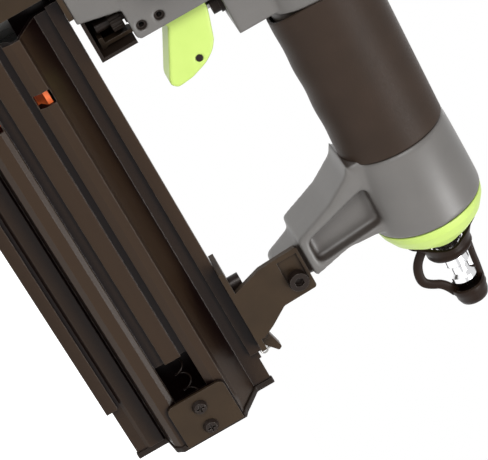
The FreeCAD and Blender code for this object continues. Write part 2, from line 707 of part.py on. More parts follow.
# ---------------------------------------------------------------- trigger group
def trigger_group():
    for node, height in (("trigger_pin", "pivot_z"), ("lug_pin", "lower_pin_z")):
        pin = cylinder(node + "_bar", "lug_pin_rad", "2*lug_pin_half", "pivot_x", "-lug_pin_half", height,
                       "Y")
        hollow = cylinder(node + "Hollow", "lug_pin_rad - 1", "2*lug_pin_half + 2", "pivot_x",
                          "-lug_pin_half - 1", height, "Y")
        keep(cut(node + "Roll", pin, [hollow]), node)
    blank = prism("TriggerBlank", "XZ", [
        ("pivot_x - 3.8", "pivot_z - 1.8"), ("pivot_x", "pivot_z - 4.1"),
        ("pivot_x + 3.8", "pivot_z - 2.6"), ("pivot_x + 8.6", "pivot_z + 0.7"),
        ("pivot_x + 19", "pivot_z - 4.2"), ("trip_x + 2", "trip_z - 15"),
        ("trip_x + 4.6", "trip_z - 15.6"), ("trip_x + 7", "trip_z - 13"),
        ("trip_x + 6.2", "trip_z - 6"), ("trip_x + 3.5", "trip_z + 1.5"),
        ("trip_x", "trip_z + 6.4"), ("trip_x - 4", "trip_z + 9"),
        ("trip_x - 13", "trip_z + 11.6"), ("pivot_x + 9.6", "pivot_z + 18.6"),
        ("pivot_x + 0.8", "pivot_z + 18.2"), ("pivot_x - 3.4", "pivot_z + 5"),
    ], "-trigger_half", "trigger_half", {"1.5": [6, 7], "2": [1], "12": [9, 10]})
    channel = prism("TriggerChannel", "XZ", [
        ("pivot_x - 6", "pivot_z - 6"), ("pivot_x + 6.6", "pivot_z - 6"),
        ("pivot_x + 6.6", "trip_z - 1"), ("trip_x - 4.2", "trip_z - 8.2"),
        ("trip_x + 4.3", "trip_z - 4.5"), ("trip_x + 4.3", "pivot_z + 24"),
        ("pivot_x - 6", "pivot_z + 24"),
    ], "-channel_half", "channel_half")
    pivot = cylinder("TriggerPivot", "lug_pin_rad + fit_gap", "2*trigger_half + 2", "pivot_x",
                     "-trigger_half - 1", "pivot_z", "Y")
    trip = cylinder("TriggerTripHole", "trip_pin_rad + fit_gap", "2*trigger_half + 2", "trip_x",
                    "-trigger_half - 1", "trip_z", "Y")
    keep(cut("Trigger", blank, [channel, pivot, trip]), "trigger")
    keep(cylinder("TripPin", "trip_pin_rad", "2*trigger_half - 0.4", "trip_x",
                  "-trigger_half + 0.2", "trip_z", "Y"), "trip_lever_pin")
    lever = prism("TripLever", "XZ", [
        ("finger_x - 0.8", "finger_top + slide_gap"), ("trip_x - 2.2", "trip_z - 2.8"),
        ("trip_x + 2.3", "trip_z - 2.2"), ("trip_x + 3.2", "trip_z + 1.4"),
        ("trip_x + 0.4", "trip_z + 3.5"), ("valve_x + 3", "trip_z + 4.3"),
        ("finger_x - 0.8", "finger_top + 3"),
    ], "-trip_half", "trip_half", {"0.8": [2, 3]})
    hole = cylinder("TripLeverHole", "trip_pin_rad + fit_gap", "2*trip_half + 2", "trip_x",
                    "-trip_half - 1", "trip_z", "Y")
    keep(cut("TripLeverCut", lever, [hole]), "trip_lever")
    keep(turned("ValveBody", [
        ("stem_rad + fit_gap", "valve_low"), ("valve_nose_rad", "valve_low"),
        ("valve_nose_rad", "root_low - 1.6"), ("valve_nose_rad + 0.8", "root_low - 1.6"),
        ("valve_nose_rad + 0.8", "root_low"), ("valve_rad", "root_low + 1"),
        ("valve_rad", "valve_top"), ("stem_rad + 3.2", "valve_top"),
        ("stem_rad + 3.2", "root_low + 6"), ("stem_rad + fit_gap", "root_low + 6"),
    ], x="valve_x"), "valve_body")
    keep(turned("ValveStem", [
        ("0", "stem_low"), ("stem_rad", "stem_low"), ("stem_rad", "stem_top - 2.4"),
        ("stem_rad + 1.4", "stem_top - 2.4"), ("stem_rad + 1.4", "stem_top"), ("0", "stem_top"),
    ], x="valve_x"), "valve_stem")
    keep(coil("ValveSpring", "stem_rad + 1.3", "0.8", "valve_top - stem_top - 0.5", 3,
              "valve_x", "0", "stem_top + 0.35"), "valve_spring")


# ---------------------------------------------------------------- depth adjuster
def depth_adjuster():
    knurls = 18
    blank = turned("WheelBlank", [
        ("stud_rad + fit_gap", "0"), ("wheel_rad", "0"), ("wheel_rad", "wheel_high"),
        ("stud_rad + fit_gap", "wheel_high"),
    ], x="wheel_x", z="wheel_low")
    notches = []
    for number in range(knurls):
        turn = 2 * math.pi * (number + 0.5) / knurls
        notches.append(cylinder(f"Knurl{number}", "0.5", "wheel_high + 2",
                                f"wheel_x + (wheel_rad + 0.15)*{math.cos(turn):.6f}",
                                f"(wheel_rad + 0.15)*{math.sin(turn):.6f}", "wheel_low - 1"))
    keep(cut("Wheel", blank, notches), "depth_wheel")
    keep(cylinder("Stud", "stud_rad", "lug_low + stud_seat - shroud_low - 4", "wheel_x", "0",
                  "shroud_low + 4"), "depth_stud")
    case = block("ShroudCase", ("shroud_front", "shroud_back"), ("-shroud_half", "shroud_half"),
                 ("shroud_low", "shroud_top"))
    room = block("ShroudRoom", ("shroud_front - 1", "shroud_back - shroud_wall"),
                 ("-shroud_half - 1", "shroud_half + 1"),
                 ("shroud_low + shroud_wall", "shroud_top + 1"))
    trim = prism("ShroudTrim", "XZ", [
        ("shroud_front - 1", "shroud_low - 1"), ("foot_back + 0.6", "shroud_low - 1"),
        ("foot_back_top + 0.8", "shroud_top + 1"), ("shroud_front - 1", "shroud_top + 1"),
    ], "-shroud_half - 2", "shroud_half + 2")
    keep(cut("Shroud", case, [room, trim]), "adjuster_shroud")


# ---------------------------------------------------------------- nose and work contact
def nose_group():
    guide = block("NoseGuideBar", ("-nose_split + 0.1", "nose_back"), ("-nose_half", "nose_half"),
                  ("nose_low", "foot_low - 2"))
    top = block("NoseFlange", ("foot_front", "foot_back - 3"), ("-nose_half", "nose_half"),
                ("foot_low - 2.1", "foot_low"))
    ear = block("NoseEar", ("nose_back - 2", "rail_front + 22"),
                ("web_in + rail_wall + seat_gap", "web_in + rail_wall + 2.5"),
                ("ear_bolt_low - 5", "ear_bolt_top + 5"))
    feed = block("NoseFeed", ("-nose_split - 1", "nose_back + 1"), ("-drive_half", "drive_half"),
                 ("slot_low", "slot_top"))
    drive = block("NoseDrive", ("-nose_split - 1", "blade_thick/2 + fit_gap"),
                  ("-drive_half", "drive_half"), ("nose_low - 1", "foot_low + 1"))
    ear_gap = block("NoseEarGap", ("nose_back", "rail_front + 30"),
                    ("-nose_half", "web_in + rail_wall + seat_gap"),
                    ("ear_bolt_low - 7", "ear_bolt_top + 7"))
    holes = []
    bolts = []
    for number, height in enumerate(EAR_BOLTS):
        holes.append(cylinder(f"EarHole{number}", "1.6", "6", "rail_front + 16", "web_in",
                              height, "Y"))
        shank = cylinder(f"EarShank{number}", "1.5", "6", "rail_front + 16", "web_in + 0.4",
                         height, "Y")
        head = cylinder(f"EarHead{number}", "2.8", "1.8", "rail_front + 16",
                        "web_in + rail_wall + 2.6", height, "Y")
        bolts.append(fuse(f"EarBolt{number}", [shank, head]))
    screw_spots = [(y, z) for y in ("-nose_screw_y", "nose_screw_y")
                   for z in ("nose_screw_low", "nose_screw_top")]
    threads = [cylinder(f"NoseThread{number}", "1.5 + fit_gap", "8", "-nose_split - 1", y, z,
                        "X") for number, (y, z) in enumerate(screw_spots)]
    solid = fuse("NoseSolid", [guide, top, ear])
    keep(cut("NoseGuide", solid, [feed, drive, ear_gap] + holes + threads), "nose_guide")
    keep(group("EarBolts", bolts), "rail_front_screws")

    plate = block("NosePlateBar", ("-nose_front", "-nose_split"), ("-nose_half", "nose_half"),
                  ("nose_low", "ledge_top - 2"))
    ledge = block("NoseLedge", ("-nose_front - 10", "-nose_split"), ("-5", "5"),
                  ("ledge_top - 2", "ledge_top"))
    seats = []
    screws = []
    for number, (y, z) in enumerate(screw_spots):
        seats.append(cylinder(f"PlateHole{number}", "1.5 + seat_gap", "nose_front + 2",
                              "-nose_front - 1", y, z, "X"))
        seats.append(cylinder(f"PlateSeat{number}", "2.9", "2.2", "-nose_front - 0.2", y, z, "X"))
        shank = cylinder(f"NoseShank{number}", "1.5", "8", "-nose_front + 1", y, z, "X")
        head = cylinder(f"NoseHead{number}", "2.7", "1.7", "-nose_front + 0.2", y, z, "X")
        socket = hexagon(f"NoseSocket{number}", "1.2", "1.2", "-nose_front - 0.1", y, z, "X")
        screws.append(cut(f"NoseScrew{number}", fuse(f"NoseBar{number}", [shank, head]),
                          [socket]))
    keep(cut("NosePlate", fuse("NosePlateSolid", [plate, ledge]), seats), "nose_plate")
    keep(group("NoseScrews", screws), "nose_screws")


def work_contact():
    back = "shoe_back"
    front = block("ContactFront", ("-contact_front", "-contact_front + contact_thick"),
                  ("-arm_in - contact_thick", "arm_in + contact_thick"),
                  ("contact_low", "shoe_top"))
    left = block("ContactLeft", ("-contact_front", back),
                 ("-arm_in - contact_thick", "-arm_in"), ("contact_low", "shoe_top"))
    right = block("ContactRight", ("-contact_front", back), ("arm_in", "arm_in + contact_thick"),
                  ("contact_low", "arm_top"))
    strap = block("ContactStrap", ("-contact_front", "-contact_front + contact_thick"),
                  ("-5", "5"), ("shoe_top - 1", "60"))
    tab = block("ContactTab", ("-contact_front - 7", "-contact_front + contact_thick"),
                ("-5", "5"), ("58", "60"))
    arm = block("ContactArm", ("0", "shroud_back - shroud_wall - slide_gap"),
                ("arm_in", "arm_in + contact_thick"), ("arm_low", "arm_top"))
    bridge = block("ContactBridge", ("wheel_x + 4", "shroud_back - shroud_wall - slide_gap"),
                   ("-2.5", "arm_in + 1"), ("arm_low + 1", "arm_low + 3"))
    finger = block("ContactFinger", ("finger_x", "finger_x + finger_thick"), ("-2.5", "2.5"),
                   ("arm_low + 2", "finger_top"))
    keep(fuse("WorkContact", [front, left, right, strap, tab, arm, bridge, finger]),
         "work_contact")
    foot = block("TipFoot", ("-contact_front - tip_thick", "shoe_back + tip_thick"),
                 ("-arm_in - contact_thick - tip_thick", "arm_in + contact_thick + tip_thick"),
                 ("0", "tip_top"))
    shoe_room = block("TipRoom", ("-contact_front - 0.02", "shoe_back + 0.02"),
                      ("-arm_in - contact_thick - 0.02", "arm_in + contact_thick + 0.02"),
                      ("contact_low", "tip_top + 1"))
    mouth = block("TipMouth", ("-contact_front + contact_thick + 0.5", "shoe_back + 5"),
                  ("-arm_in", "arm_in"), ("-1", "tip_top + 1"))
    keep(cut("NoMarTip", foot, [shoe_room, mouth]), "no_mar_tip")
    keep(coil("ContactSpring", "2.6", "0.8", "ledge_top - 2 - 60 - 0.1", 7,
              "-contact_front - 3.4", "0", "60.45"), "contact_spring")


# ---------------------------------------------------------------- magazine
def magazine():
    lip_in = "-lip_out + lip_thick"
    web_out = "web_in + rail_wall"
    profile = [
        ("-lip_out", "rail_low"), (web_out, "rail_low"), (web_out, "low_rib_z"), ("rib_out", "low_rib_z"),
        ("rib_out", "low_rib_z + rib_thick"), (web_out, "low_rib_z + rib_thick"),
        (web_out, "top_rib_z"), ("rib_out", "top_rib_z"), ("rib_out", "top_rib_z + rib_thick"),
        (web_out, "top_rib_z + rib_thick"),
        (web_out, "rail_top"), ("-lip_out", "rail_top"), ("-lip_out", "rail_top - lip_deep"),
        (lip_in, "rail_top - lip_deep"), (lip_in, "rail_top - rail_wall"),
        ("web_in", "rail_top - rail_wall"), ("web_in", "rail_low + rail_wall - 0.4"),
        (lip_in, "rail_low + rail_wall - 0.4"), (lip_in, "rail_low + lip_deep"),
        ("-lip_out", "rail_low + lip_deep"),
    ]
    bar = prism("RailBar", "YZ", profile, "rail_front", "rail_back")
    tail = block("RailTail", ("rail_back - 1", "cover_back"), ("web_in", web_out),
                 ("low_rib_z", "top_rib_z + rib_thick"))
    rail = fuse("RailSolid", [bar, tail])
    step = block("RailStep", ("rail_low_back", "rail_back + 1"), ("-lip_out - 1", "rib_out + 1"),
                 ("rail_low - 1", "rail_low + lip_deep + 6"))
    front = block("RailNotch", ("rail_front - 1", "cover_front - 2"), ("-lip_out - 1", "web_in"),
                  ("rail_low - 1", "rail_top + 1"))
    holes = [cylinder(f"RailHole{number}", "1.6", "6", "rail_front + 16", "web_in - 1", height,
                      "Y") for number, height in enumerate(EAR_BOLTS)]
    thread = cylinder("RailThread", "rail_screw_rad + fit_gap", "rail_wall + 1", "rail_screw_x",
                      "-0.6", "rail_top - rail_wall - 0.5")
    keep(cut("Rail", rail, [step, front, thread] + holes), "magazine_rail")
    magazine_cover()
    pusher()


def hump_profile(wall, rim):
    """Outer half of the cover's section from the top edge down, grown by a rim."""
    return [
        ("-cover_in", f"{wall} + {rim}"), (f"-cover_in - cover_wall - {rim}", f"{wall} + {rim}"),
        (f"-cover_in - cover_wall - {rim}", f"slope_top + {rim}/2"),
        (f"-hump_out + 2.4 - {rim}/2", f"hump_top + {rim}"),
        (f"-hump_out - {rim}", f"hump_top - 1 + {rim}/2"),
    ]


def magazine_cover():
    top = "rail_top - rail_wall - slide_gap"
    low = "rail_low + rail_wall - 0.4 + slide_gap"
    skin = "-cover_in - cover_wall"
    profile = hump_profile(top, "0") + [
        ("-hump_out", "rib_a_low + 3.6"), ("-hump_out + 1.4", "rib_a_low"),
        ("-groove_out", "rib_a_low"), ("-groove_out", "band_top"), ("-band_out", "band_top"),
        ("-band_out", "band_low"), ("-groove_out", "band_low"), ("-groove_out", "rib_b_top"),
        ("-hump_out + 1.2", "rib_b_top"), ("-hump_out", "rib_b_top - 2.2"),
        ("-hump_out", "hump_low + 1.6"), ("-hump_out + 2.4", "hump_low - 1"),
        (skin, "slope_low"), ("-bulge_out", "slope_low - 1.2"), ("-bulge_out", "bulge_low + 1.6"),
        (skin, "bulge_low"), (skin, low), ("-cover_in", low),
        ("-cover_in", "slope_low + cover_wall + 0.2"),
        ("-hump_out + 3", "hump_low + 0.8"), ("-hump_out + cover_wall", "hump_low + 2.2"),
        ("-hump_out + cover_wall", "rib_b_top - 2.6"),
        ("-groove_out + cover_wall", "rib_b_top - cover_wall"),
        ("-groove_out + cover_wall", "rib_a_low + cover_wall"),
        ("-hump_out + cover_wall", "rib_a_low + 4"), ("-hump_out + cover_wall", "hump_top - 1.6"),
        ("-hump_out + 3.2", "hump_top - 1.2"), ("-cover_in", "slope_top - 1.4"),
    ]
    shell = prism("CoverBar", "YZ", profile, "cover_front", "cover_back")
    tools = []
    for number, (low_z, top_z) in enumerate((("rib_a_low + 0.4", "hump_top - 0.8"),
                                             ("hump_low + 1.8", "rib_b_top - 0.4"))):
        tools.append(block(f"Window{number}", ("window_x", "window_x + window_long"),
                           ("-hump_out - 1", "-groove_out + cover_wall + 0.1"), (low_z, top_z)))
    tools.append(block("FingerRecess", ("recess_x", "plate_x + 3"),
                       ("-hump_out - 1", "-groove_out + cover_wall + 0.1"),
                       ("rib_b_top + 0.2", "rib_a_low - 0.2")))
    tools.append(block("BandEnd", ("plate_x + 2.9", "cover_back + 1"),
                       ("-hump_out - 1", "-groove_out - 0.2"), ("rib_b_top - 0.2", "rib_a_low + 0.2")))
    for number, centre in enumerate(plate_screw_spots()):
        tools.append(cylinder(f"CoverThread{number}", "1.5 + fit_gap", "6", centre, "-hump_out - 1",
                              "plate_mid", "Y"))
    catch = block("Catch", ("rail_back + 0.6", "rail_back + 4.6"),
                  ("-cover_in - cover_wall", "-cover_in"), (f"{top} - 1", f"{top} + 1.1"))
    keep(cut("Cover", fuse("CoverSolid", [shell, catch]), tools), "magazine_cover")

    rim_top = "rail_top - rail_wall - slide_gap"
    end = hump_profile(rim_top, "cap_rim") + [
        ("-hump_out - cap_rim", "hump_low + 1.6"), ("-hump_out + 2.4 - cap_rim/2", "hump_low - 1 - cap_rim"),
        ("-cover_in - cover_wall - cap_rim", "slope_low - cap_rim/2"),
        ("-cover_in - cover_wall - cap_rim", f"{low} - cap_rim"), ("-cover_in", f"{low} - cap_rim"),
    ]
    end_bar = prism("EndCapBar", "YZ", end, "cover_back", "cover_back + cap_thick")
    end_room = block("EndCapRoom", ("cover_back - 1", "cover_back + 1.6 + seat_gap"),
                     ("-hump_out - 2", "-hump_out + 0.02"), ("hump_low + 3.8", "hump_top - 1.6"))
    keep(cut("EndCapCut", end_bar, [end_room]), "cover_end_cap")
    plate_block = prism("EndPlateBar", "XZ", [
        ("plate_x", "hump_low + 4"), ("cover_back + 1.6", "hump_low + 4"),
        ("cover_back + 1.6", "hump_top - 1.8"), ("plate_x", "hump_top - 1.8"),
    ], "-hump_out - plate_thick", "-hump_out", {"3": [0, 3]})
    seats = []
    screws = []
    for number, centre in enumerate(plate_screw_spots()):
        seats.append(cylinder(f"PlateScrewHole{number}", "1.5 + seat_gap", "4", centre,
                              "-hump_out - 3", "plate_mid", "Y"))
        shank = cylinder(f"PlateShank{number}", "1.5", "plate_thick + 4.2", centre,
                         "-hump_out - plate_thick - 0.5", "plate_mid", "Y")
        head = cone(f"PlateHead{number}", "2.6", "3.5", "1.8", centre,
                    "-hump_out - plate_thick - 1.9", "plate_mid", "Y")
        bars = [block(f"CrossA{number}", (f"{centre} - 1.9", f"{centre} + 1.9"),
                      ("-hump_out - plate_thick - 3", "-hump_out - plate_thick - 0.7"),
                      ("plate_mid - 0.45", "plate_mid + 0.45")),
                block(f"CrossB{number}", (f"{centre} - 0.45", f"{centre} + 0.45"),
                      ("-hump_out - plate_thick - 3", "-hump_out - plate_thick - 0.7"),
                      ("plate_mid - 1.9", "plate_mid + 1.9"))]
        screws.append(cut(f"PlateScrew{number}", fuse(f"PlateBar{number}", [shank, head]), bars))
    keep(cut("EndPlate", plate_block, seats), "cover_end_plate")
    keep(group("PlateScrews", screws), "end_plate_screws")


def plate_screw_spots():
    return ("plate_x + 6.6", "plate_x + 17.8")


def pusher():
    blade = block("PusherBlade", ("pusher_front", "pusher_back - 4"),
                  ("-pusher_thick/2", "pusher_thick/2"),
                  ("slot_low + 3", "slot_top - 4"))
    carriage = block("PusherCarriage", ("pusher_front + 9", "pusher_back"),
                     ("-groove_out + cover_wall + slide_gap", "pusher_thick/2"),
                     ("plate_mid - carriage_low", "plate_mid + carriage_top"))
    rib = block("PusherRib", ("pusher_front + 20", "pusher_back"),
                ("-groove_out + cover_wall + slide_gap", "-groove_out + cover_wall + slide_gap + 2"),
                ("plate_mid - carriage_low - 2.4", "plate_mid + carriage_top + 2.4"))
    keep(fuse("Pusher", [blade, carriage, rib]), "nail_pusher")
    ears = []
    reach = ("window_x - 3", "window_x + window_long + 3")
    for number, (low_z, top_z) in enumerate((("rib_a_low + 4.4", "hump_top - 2"),
                                             ("hump_low + 2.6", "rib_b_top - 3"))):
        ears.append(block(f"IndicatorEar{number}", reach,
                          ("-ear_out", "-groove_out + cover_wall + 2.6"), (low_z, top_z)))
    web = block("IndicatorWeb", reach,
                ("-groove_out + cover_wall + slide_gap + 2", "-groove_out + cover_wall + 4"),
                ("hump_low + 2.6", "hump_top - 2"))
    room = block("IndicatorRoom", ("window_x - 4", "window_x + window_long + 4"),
                 ("-groove_out + cover_wall + slide_gap", "2"),
                 ("plate_mid - carriage_low - 0.1", "plate_mid + carriage_top + 0.1"))
    keep(cut("Indicator", fuse("IndicatorSolid", ears + [web]), [room]), "level_indicator")
    keep(coil("PusherSpring", "2.8", "0.7", "cover_back - pusher_back - 1", 18,
              "pusher_back + 0.8", "-5.2", "plate_mid", "X"), "pusher_spring")


# ---------------------------------------------------------------- bracket and latch
def bracket_group():
    inner = "-bracket_out + bracket_thick"
    plate = prism("BracketPlate", "XZ", [
        ("leg_screw_x - 14.8", "bracket_top"), ("leg_screw_x - 13.8", "leg_screw_z - 12.5"),
        ("leg_screw_x - 8.3", "rail_top + 0.1"), ("leg_screw_x + 17.2", "rail_top + 0.1"),
        ("leg_screw_x + 17.2", "rail_top + 4.3"), ("leg_screw_x + 14.2", "leg_screw_z - 19"),
        ("leg_screw_x + 8.2", "leg_screw_z - 10.5"), ("leg_screw_x + 7.7", "bracket_top"),
    ], "-bracket_out", inner, {"1.5": [0, 7], "3": [6]})
    strip = block("BracketStrip", ("strip_front", "strip_back"), ("-bracket_out", "strip_far"),
                  ("rail_top + 0.1", "rail_top + 0.1 + strip_thick"))
    ears = [block(f"LatchEar{number}", ("latch_x - 2", "latch_x + 2"), (low, high),
                  ("rail_top + strip_thick", "latch_z + 2"))
            for number, (low, high) in enumerate((
                ("-latch_near - slide_gap - 1.5", "-latch_near - slide_gap"),
                ("latch_far + slide_gap", "latch_far + slide_gap + 1.5")))]
    notch = block("LatchNotch", ("latch_x - 2.4", "strip_back + 1"),
                  ("-latch_near - slide_gap", "latch_far + slide_gap"),
                  ("rail_top", "rail_top + strip_thick + 1"))
    pocket = block("ScrewPocket", ("leg_screw_x - 12", "leg_screw_x + 1"),
                   ("-bracket_out - 1", "-bracket_out + 1.2"),
                   ("leg_screw_z - 4.7", "leg_screw_z + 4.7"))
    pocket_end = cylinder("ScrewPocketEnd", "4.7", "2.2", "leg_screw_x + 1", "-bracket_out - 1",
                          "leg_screw_z", "Y")
    hole = cylinder("BracketHole", "leg_screw_rad + seat_gap", "bracket_thick + 2", "leg_screw_x",
                    "-bracket_out - 1", "leg_screw_z", "Y")
    strip_hole = cylinder("StripHole", "rail_screw_rad + seat_gap", "strip_thick + 2",
                          "rail_screw_x", "-0.6", "rail_top - 0.5")
    pin_hole = cylinder("LatchPinHole", "latch_pin_rad + fit_gap", "20", "latch_x",
                        "-latch_near - 6", "latch_z", "Y")
    keep(cut("Bracket", fuse("BracketSolid", [plate, strip] + ears),
             [notch, pocket, pocket_end, hole, strip_hole, pin_hole]), "magazine_bracket")
    shank = cylinder("LegShank", "leg_screw_rad", "bracket_thick + tongue_half + 4", "leg_screw_x",
                     "-bracket_out + 1", "leg_screw_z", "Y")
    head = cylinder("LegHead", "leg_head_rad", "4.2", "leg_screw_x", "-bracket_out - 3",
                    "leg_screw_z", "Y")
    socket = hexagon("LegSocket", "2.3", "2.6", "leg_screw_x", "-bracket_out - 3.4",
                     "leg_screw_z", "Y")
    keep(cut("LegScrew", fuse("LegScrewBar", [shank, head]), [socket]), "leg_screw")
    seat = "rail_top + 0.1 + strip_thick"
    shank = cylinder("RailShank", "rail_screw_rad", "strip_thick + rail_wall", "rail_screw_x",
                     "-0.6", f"{seat} - strip_thick - rail_wall + 0.3")
    head = cylinder("RailHead", "rail_head_rad", "5", "rail_screw_x", "-0.6", seat)
    socket = hexagon("RailSocket", "2", "3", "rail_screw_x", "-0.6", f"{seat} + 2.6")
    keep(cut("RailScrew", fuse("RailScrewBar", [shank, head]), [socket]), "rail_screw")
    latch()


def latch():
    keep(cylinder("LatchPin", "latch_pin_rad", "latch_near + latch_far + 2*slide_gap + 3",
                  "latch_x", "-latch_near - slide_gap - 1.5", "latch_z", "Y"), "latch_pin")
    lever = prism("LatchLever", "XZ", [
        ("latch_x - 1.9", "latch_z - 1.6"), ("latch_x + 3.2", "latch_z - 4"),
        ("latch_x + 11.4", "latch_z + 2.2"), ("latch_x + 10.2", "latch_z + 3.9"),
        ("latch_x + 1.6", "latch_z + 1.9"), ("latch_x - 1.9", "latch_z + 1.6"),
    ], "-latch_near", "latch_far", {"0.8": [2, 3], "1": [0, 5]})
    hole = cylinder("LatchLeverHole", "latch_pin_rad + fit_gap", "8", "latch_x",
                    "-latch_near - 1", "latch_z", "Y")
    keep(cut("LatchLeverCut", lever, [hole]), "latch_lever")
    loop = ring("LatchLoop", "loop_rad", "loop_wire", "loop_x", "-2", "latch_z - 3.6", "Y")
    leg = cylinder("LatchLoopLeg", "loop_wire + 0.15", "3.6", "loop_x", "-2", "latch_z - 2.6", "Z")
    keep(fuse("LatchBail", [loop, leg]), "latch_bail")


def main():
    cast_body()
    cap_end()
    drive_parts()
    handle_end()
    trigger_group()
    depth_adjuster()
    nose_group()
    work_contact()
    magazine()
    bracket_group()
    doc.recompute()
    for thing in doc.Objects:
        if {"Invalid", "Error"} & set(thing.State):
            raise RuntimeError(f"{thing.Name} ({thing.Label}) did not build: {thing.State}")
    faulty = [thing.Label for thing in NODES
              if thing.Shape.isNull() or not thing.Shape.isValid()]
    if faulty:
        raise RuntimeError(f"no valid shape: {', '.join(faulty)}")
    os.makedirs("parts", exist_ok=True)
    for thing in NODES:
        thing.Shape.exportStep(f"parts/{thing.Label}.step")
        box = thing.Shape.BoundBox
        print(f"{thing.Label}: {len(thing.Shape.Solids)} solid(s), {thing.Shape.Volume:.0f} mm3, "
              f"x {box.XMin:.1f}..{box.XMax:.1f} y {box.YMin:.1f}..{box.YMax:.1f} "
              f"z {box.ZMin:.1f}..{box.ZMax:.1f}")


main()
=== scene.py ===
"""Pneumatic brad nailer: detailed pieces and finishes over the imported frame."""

import json
import logging
import math
from dataclasses import dataclass
from enum import Enum

import bpy
from mathutils import Matrix, Vector


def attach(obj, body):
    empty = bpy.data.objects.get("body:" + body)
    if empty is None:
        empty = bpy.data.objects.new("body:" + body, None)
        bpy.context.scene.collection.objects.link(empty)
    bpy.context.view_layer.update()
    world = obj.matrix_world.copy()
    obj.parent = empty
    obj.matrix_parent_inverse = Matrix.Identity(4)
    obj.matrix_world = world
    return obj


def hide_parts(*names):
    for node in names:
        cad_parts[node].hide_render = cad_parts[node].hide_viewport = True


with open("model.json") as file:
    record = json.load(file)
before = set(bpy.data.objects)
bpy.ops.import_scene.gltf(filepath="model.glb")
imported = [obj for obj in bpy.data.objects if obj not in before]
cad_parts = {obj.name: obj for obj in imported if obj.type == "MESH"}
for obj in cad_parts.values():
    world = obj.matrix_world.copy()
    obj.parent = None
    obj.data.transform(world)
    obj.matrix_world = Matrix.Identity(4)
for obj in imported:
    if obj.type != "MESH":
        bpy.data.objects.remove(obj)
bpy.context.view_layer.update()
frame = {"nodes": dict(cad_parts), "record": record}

LOG = logging.getLogger("brad_nailer")
MM = 0.001
PIECE_TRIANGLES = 185000.0
LATE_FADE = 8.0
Point = tuple[float, float, float]
Colour = tuple[float, float, float]


class Streak(Enum):
    """Direction in which a machined or drawn surface shows its marks."""

    NONE = (1.0, 1.0, 1.0)
    ALONG_X = (0.03, 1.0, 1.0)
    ALONG_Y = (1.0, 0.03, 1.0)
    ALONG_Z = (1.0, 1.0, 0.03)


class Graph:
    """A material's node tree, with short calls to add and join nodes."""

    def __init__(self, name: str) -> None:
        """Start an empty tree.

        Args:
            name: The material's name.
        """
        self.material = bpy.data.materials.new(name)
        self.material.use_nodes = True
        self.tree = self.material.node_tree
        self.tree.nodes.clear()
        self.out = self.tree.nodes.new("ShaderNodeOutputMaterial")

    def node(self, kind: str, settings: dict | None = None, **inputs: object) -> bpy.types.Node:
        """Add a node.

        Args:
            kind: The node's type, without its ShaderNode prefix.
            settings: Properties of the node itself.
            inputs: Socket values or sources, by socket name with underscores for spaces.

        Returns:
            The new node.
        """
        made = self.tree.nodes.new("ShaderNode" + kind)
        for key, value in (settings or {}).items():
            setattr(made, key, value)
        for key, value in inputs.items():
            self.feed(made.inputs[key.replace("_", " ")], value)
        return made

    def feed(self, socket: bpy.types.NodeSocket, value: object) -> None:
        """Join a source to a socket, or set the socket's own value.

        Args:
            socket: The socket to fill.
            value: An output socket, a colour of three numbers, or a plain value.
        """
        if isinstance(value, bpy.types.NodeSocket):
            self.tree.links.new(value, socket)
        elif isinstance(value, tuple) and len(value) == 3 and socket.type == "RGBA":
            socket.default_value = (*value, 1.0)
        else:
            socket.default_value = value

    def mix(self, factor: object, low: object, high: object) -> bpy.types.NodeSocket:
        """Blend two colours.

        Args:
            factor: Share of the second colour.
            low: First colour or source.
            high: Second colour or source.

        Returns:
            The blended colour's socket.
        """
        made = self.node("Mix", {"data_type": "RGBA"})
        self.feed(made.inputs[0], factor)
        self.feed(made.inputs[6], low)
        self.feed(made.inputs[7], high)
        return made.outputs[2]

    def spread(self, source: object, start: float, stop: float, low: float, high: float) -> bpy.types.NodeSocket:
        """Map a range of a value on to another range, clamped.

        Args:
            source: The value's socket.
            start: Value that gives low.
            stop: Value that gives high.
            low: Result at start.
            high: Result at stop.

        Returns:
            The mapped value's socket.
        """
        made = self.node("MapRange")
        for socket, value in zip(made.inputs, (source, start, stop, low, high)):
            self.feed(socket, value)
        return made.outputs[0]

    def noise(self, size: float, streak: Streak = Streak.NONE, detail: float = 3.0) -> bpy.types.NodeSocket:
        """Noise whose marks have a real size.

        Args:
            size: Typical size of a mark in millimetres.
            streak: Direction in which the marks are drawn out.
            detail: Number of finer octaves.

        Returns:
            The noise factor's socket.
        """
        where = self.node("TexCoord").outputs["Object"]
        placed = self.node("Mapping", Vector=where)
        placed.inputs["Scale"].default_value = streak.value
        made = self.node("TexNoise", Vector=placed.outputs[0], Scale=1.0 / (size * MM), Detail=detail)
        return made.outputs["Fac"]


